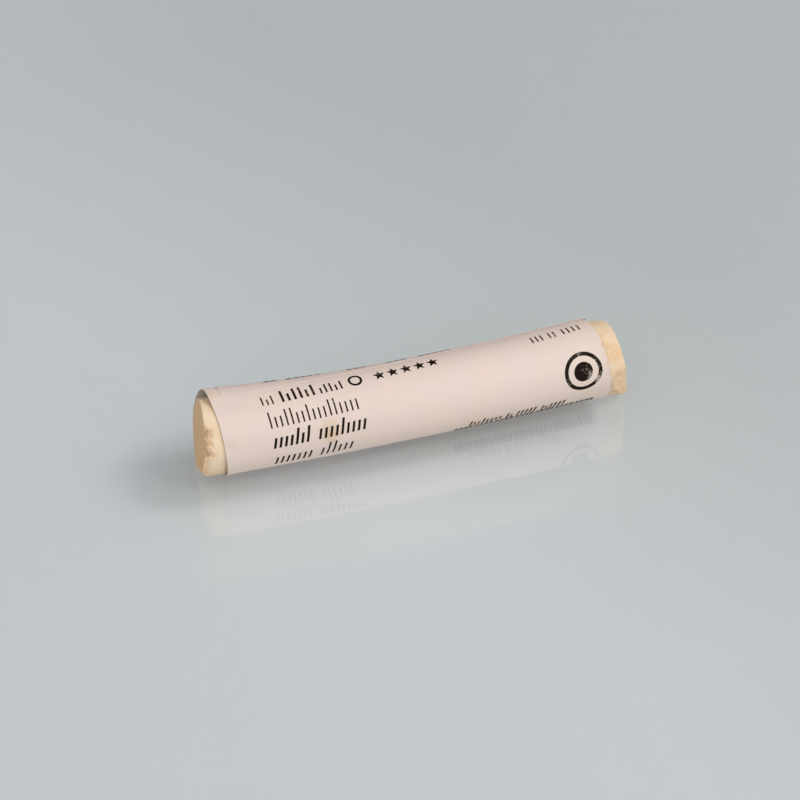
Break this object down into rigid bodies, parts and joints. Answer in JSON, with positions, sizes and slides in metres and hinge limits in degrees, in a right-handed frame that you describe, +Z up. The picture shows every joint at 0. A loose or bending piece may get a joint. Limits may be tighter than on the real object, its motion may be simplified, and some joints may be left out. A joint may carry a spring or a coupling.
{
  "type": "soft pastel stick in a paper label",
  "caption": "Round soft pastel stick of pale ochre, slightly bent and chipped at its ends, in a loose wound paper label with plain printed marks.",
  "frame": {"origin": "on the table under the middle of the stick's length and depth, the bottom centre of the bounding box", "axes": "+X runs along the stick from the end with the flared label to the other end, +Z is up, and -Y faces the side with the rows of printed marks"},
  "size_m": [0.068, 0.0138, 0.0127],
  "materials": {
    "pastel": "powdery matte pressed pigment and chalk",
    "paper": "thin translucent uncoated label paper, slightly aged",
    "ink": "thin matte printing ink"
  },
  "bodies": {
    "root": {"pastel_stick": "pastel", "paper_label": "paper", "label_print": "ink"}
  },
  "joints": []
}
